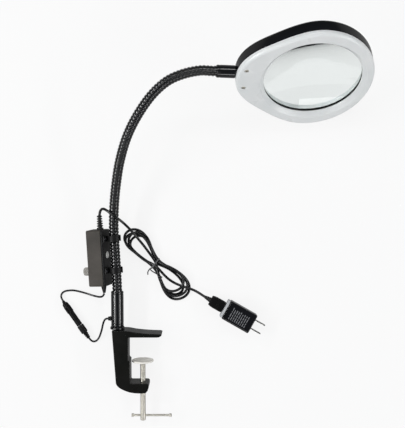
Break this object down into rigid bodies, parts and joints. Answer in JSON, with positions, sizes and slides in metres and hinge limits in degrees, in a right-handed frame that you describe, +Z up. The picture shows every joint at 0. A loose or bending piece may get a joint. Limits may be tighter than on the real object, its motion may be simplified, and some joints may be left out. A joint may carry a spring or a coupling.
{
  "type": "magnifying lamp",
  "caption": "Clamp-on magnifying lamp with a lit lens head on a black gooseneck, a dimmer box on the neck, a tied power cord and a plug-in adapter.",
  "frame": {"origin": "bottom centre of the lamp's own box, without its free cords, as it lies on its side", "axes": "+Y from the clamp to the head, +X from the neck to the head's far end, +Z up from the surface it lies on"},
  "size_m": [0.4057, 0.5044, 0.1476],
  "materials": {
    "clamp_paint": "black stoved enamel on a die casting, semi-gloss",
    "black_tube": "black enamel on turned tube, semi-gloss",
    "gooseneck": "black lacquer on wound steel strip, semi-gloss",
    "zinc_steel": "zinc-plated steel, satin",
    "black_rubber": "moulded, matte",
    "dimmer_plastic": "moulded ABS, fine texture",
    "black_gloss": "moulded ABS, polished",
    "black_matte": "moulded, satin",
    "circuit_board": "solder resist on glass fibre laminate",
    "led_board": "white solder resist",
    "white_label": "plain round sticker",
    "cord_jacket": "extruded PVC jacket, satin",
    "tie_coating": "plastic-coated wire tie",
    "opal_plastic": "opal acrylic, satin gloss",
    "lens_glass": "ground and polished optical glass",
    "knob_plastic": "moulded, satin",
    "adapter_trim": "moulded, satin grey",
    "blade_nickel": "nickel-plated brass"
  },
  "bodies": {
    "stand": {"clamp_frame": "clamp_paint", "neck_socket": "black_tube", "socket_collar": "black_tube", "grub_screw": "zinc_steel", "cord_grommet": "black_rubber", "neck_base": "gooseneck", "dimmer_case": "dimmer_plastic", "dimmer_lid": "black_gloss", "dimmer_board": "circuit_board", "potentiometer": "zinc_steel", "neck_clip_lower": "black_matte", "neck_clip_upper": "black_matte", "clip_screw_lower": "zinc_steel", "clip_screw_upper": "zinc_steel", "main_cord_relief": "black_rubber", "link_cord_relief": "black_rubber", "round_label": "white_label", "main_cord_lead": "cord_jacket", "main_cord_tail": "cord_jacket", "cord_hank": "cord_jacket", "hank_tie": "tie_coating", "link_cord_upper": "cord_jacket", "link_cord_lower": "cord_jacket", "inline_plug": "black_matte", "inline_jack": "black_matte", "usb_plug_shell": "zinc_steel", "usb_plug_grip": "black_matte", "usb_plug_relief": "black_rubber"},
    "link_1": {"neck_link_1": "gooseneck"},
    "link_2": {"neck_link_2": "gooseneck"},
    "link_3": {"neck_link_3": "gooseneck"},
    "link_4": {"neck_link_4": "gooseneck"},
    "link_5": {"neck_link_5": "gooseneck"},
    "link_6": {"neck_link_6": "gooseneck"},
    "head": {"neck_end": "gooseneck", "head_ferrule": "black_tube", "rear_shell": "black_gloss", "front_cover": "opal_plastic", "magnifier_lens": "lens_glass", "lens_gasket": "black_rubber", "led_board": "led_board", "cover_screw_low": "zinc_steel", "cover_screw_high": "zinc_steel", "neck_nut": "zinc_steel"},
    "knob": {"dimmer_knob": "knob_plastic"},
    "pad": {"swivel_pad": "zinc_steel"},
    "spindle": {"clamp_spindle": "zinc_steel"},
    "tommy": {"tommy_bar": "zinc_steel", "tommy_cap_left": "zinc_steel", "tommy_cap_right": "zinc_steel"},
    "adapter": {"adapter_case": "black_gloss", "adapter_end_plate": "adapter_trim", "adapter_blade_left": "blade_nickel", "adapter_blade_right": "blade_nickel"}
  },
  "joints": [
    {"name": "neck_swing_1", "type": "hinge", "parent": "stand", "child": "link_1", "pos_m": [-0.1435, 0.03352, 0.03091], "axis": [-0.0111, -0.158, 0.9874], "range_deg": [-12, 12]},
    {"name": "neck_lift_1", "type": "hinge", "parent": "link_1", "child": "link_2", "pos_m": [-0.13907, 0.06931, 0.03908], "axis": [0.9868, -0.1621, 0], "range_deg": [0, 16]},
    {"name": "neck_swing_2", "type": "hinge", "parent": "link_2", "child": "link_3", "pos_m": [-0.13099, 0.10369, 0.04999], "axis": [-0.095, -0.3026, 0.9484], "range_deg": [-12, 12]},
    {"name": "neck_lift_2", "type": "hinge", "parent": "link_3", "child": "link_4", "pos_m": [-0.11736, 0.13583, 0.06203], "axis": [0.8734, -0.487, 0], "range_deg": [0, 16]},
    {"name": "neck_swing_3", "type": "hinge", "parent": "link_4", "child": "link_5", "pos_m": [-0.09768, 0.16496, 0.07344], "axis": [-0.1787, -0.2204, 0.9589], "range_deg": [-12, 12]},
    {"name": "neck_lift_3", "type": "hinge", "parent": "link_5", "child": "link_6", "pos_m": [-0.07124, 0.18888, 0.08265], "axis": [0.5115, -0.8593, 0], "range_deg": [0, 16]},
    {"name": "neck_swing_4", "type": "hinge", "parent": "link_6", "child": "head", "pos_m": [-0.0366, 0.20018, 0.08752], "axis": [-0.0675, -0.01, 0.9977], "range_deg": [-12, 12]},
    {"name": "knob_turn", "type": "hinge", "parent": "stand", "child": "knob", "pos_m": [-0.17473, -0.05356, 0.01392], "axis": [-0.9548, -0.0349, -0.2951], "range_deg": [-150, 150]},
    {"name": "pad_travel", "type": "slide", "parent": "stand", "child": "pad", "axis": [0, 0.998, 0.0628], "range_m": [-0.0237, 0.0262]},
    {"name": "spindle_turn", "type": "hinge", "parent": "pad", "child": "spindle", "pos_m": [-0.10694, -0.20924, 0.01413], "axis": [0, 0.998, 0.0628], "range_deg": [-6840, 7560]},
    {"name": "tommy_slide", "type": "slide", "parent": "spindle", "child": "tommy", "axis": [1, 0, 0], "range_m": [-0.03, 0.008]},
    {"name": "adapter_pull", "type": "slide", "parent": "stand", "child": "adapter", "axis": [0.8695, -0.4939, 0], "range_m": [0, 0.013]}
  ],
  "couplings": [
    {"joint": "spindle_turn", "follows": "pad_travel", "rad_per_m": 5026.5}
  ]
}
